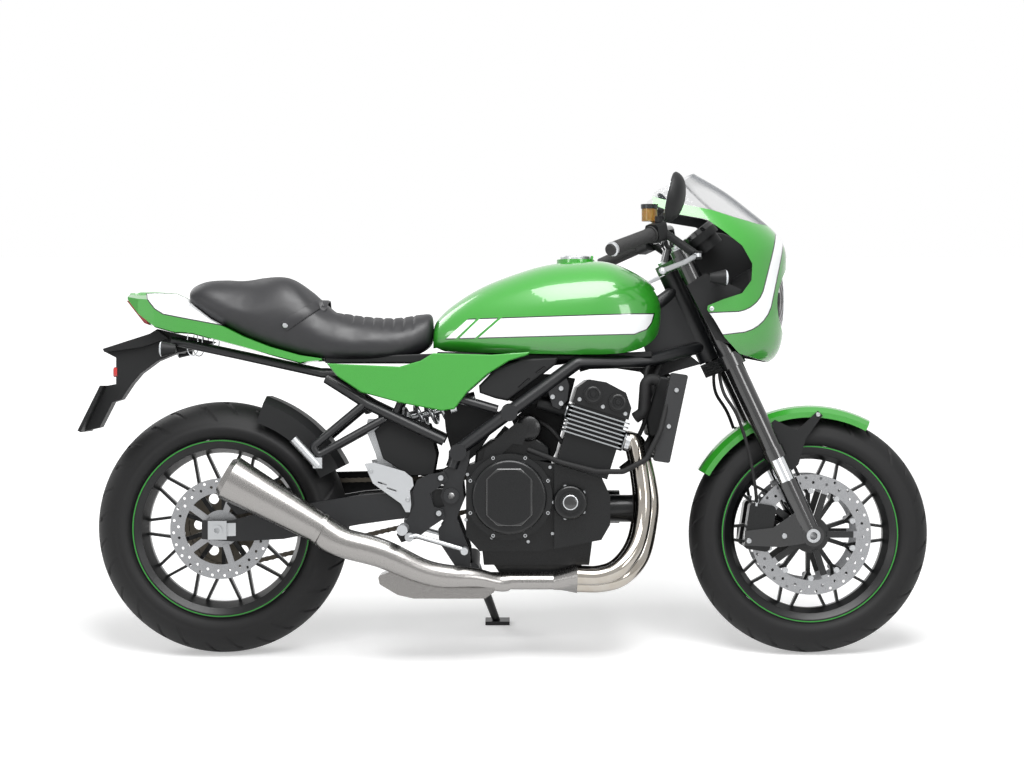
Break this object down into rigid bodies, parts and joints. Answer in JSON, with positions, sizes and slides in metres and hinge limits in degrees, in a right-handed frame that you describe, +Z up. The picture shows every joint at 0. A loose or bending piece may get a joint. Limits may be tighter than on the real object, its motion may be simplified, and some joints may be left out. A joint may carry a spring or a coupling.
{
  "type": "cafe racer motorcycle",
  "caption": "Naked road motorcycle with a bikini cowl, teardrop tank, ducktail and finned engine, leaning on its side stand.",
  "frame": {"origin": "on the road, at the middle of the parked bike's bounding box", "axes": "+X towards the front wheel, +Y to the rider's left, +Z up"},
  "size_m": [2.1242, 0.8314, 1.223],
  "materials": {
    "frame_paint": "satin black paint",
    "bright_steel": "bright steel",
    "engine_black": "satin black enamel",
    "black_plastic": "matte black",
    "black_rubber": "matte",
    "pipe_steel": "polished, tinted by heat",
    "brushed_steel": "brushed",
    "green_paint": "gloss green",
    "seat_leather": "stitched",
    "red_lens": "clear red",
    "alloy": "satin",
    "chain_steel": "oiled",
    "black_gloss": "gloss black",
    "chrome": "mirror",
    "amber_plastic": "translucent",
    "screen": "clear",
    "lens": "clear",
    "tyre": "matte",
    "disc_steel": "ground"
  },
  "bodies": {
    "chassis": {"airbox": "black_plastic", "chain": "chain_steel", "collector": "brushed_steel", "crankcase": "engine_black", "cylinders": "engine_black", "foot_levers": "alloy", "footrests": "alloy", "frame": "frame_paint", "front_sprocket": "chain_steel", "fuel_tank": "green_paint", "head_cover": "engine_black", "headers": "pipe_steel", "hoses": "black_rubber", "left_covers": "engine_black", "muffler": "brushed_steel", "plate_carrier": "black_plastic", "radiator": "engine_black", "rear_axle": "bright_steel", "rear_caliper": "engine_black", "rear_frame": "frame_paint", "rear_guards": "black_plastic", "rear_signals": "black_plastic", "right_covers": "engine_black", "seat": "seat_leather", "shock": "bright_steel", "side_covers": "green_paint", "sump": "engine_black", "swingarm": "frame_paint", "tail_cowl": "green_paint", "tail_lamp": "red_lens"},
    "front_wheel": {"front_tyre": "tyre", "front_rim": "black_gloss", "front_discs": "disc_steel"},
    "rear_wheel": {"rear_tyre": "tyre", "rear_rim": "black_gloss", "rear_disc": "disc_steel", "rear_sprocket": "chain_steel"},
    "side_stand": {"side_stand": "frame_paint"},
    "fuel_cap": {"fuel_cap": "alloy"},
    "steering": {"fork_outers": "black_gloss", "fork_sliders": "chrome", "fork_bottoms": "black_gloss", "front_axle": "bright_steel", "triple_clamps": "black_gloss", "handlebar": "black_gloss", "grips": "black_rubber", "switches": "black_plastic", "levers": "alloy", "reservoir": "amber_plastic", "mirrors": "black_gloss", "cowl": "green_paint", "windscreen": "screen", "headlight": "lens", "instruments": "black_plastic", "front_stays": "black_plastic", "front_signals": "black_plastic", "front_fender": "green_paint", "front_calipers": "engine_black"}
  },
  "joints": [
    {"name": "steering_turn", "type": "hinge", "parent": "chassis", "child": "steering", "pos_m": [0.47589, -0.03269, 0.8183], "axis": [-0.4226, 0.1418, 0.8951], "range_deg": [-35, 35]},
    {"name": "front_wheel_spin", "type": "hinge", "parent": "steering", "child": "front_wheel", "pos_m": [0.7639, -0.11525, 0.29707], "axis": [0, 0.9877, -0.1564], "continuous": true},
    {"name": "rear_wheel_spin", "type": "hinge", "parent": "chassis", "child": "rear_wheel", "pos_m": [-0.7061, -0.11284, 0.31225], "axis": [0, 0.9877, -0.1564], "continuous": true},
    {"name": "side_stand_fold", "type": "hinge", "parent": "chassis", "child": "side_stand", "pos_m": [-0.0831, 0.03337, 0.19985], "axis": [0.0229, 0.8912, 0.4531], "range_deg": [0, 94]},
    {"name": "fuel_cap_lift", "type": "hinge", "parent": "chassis", "child": "fuel_cap", "pos_m": [0.2199, -0.0068, 0.98176], "axis": [0, 0.9877, -0.1564], "range_deg": [0, 95]}
  ]
}
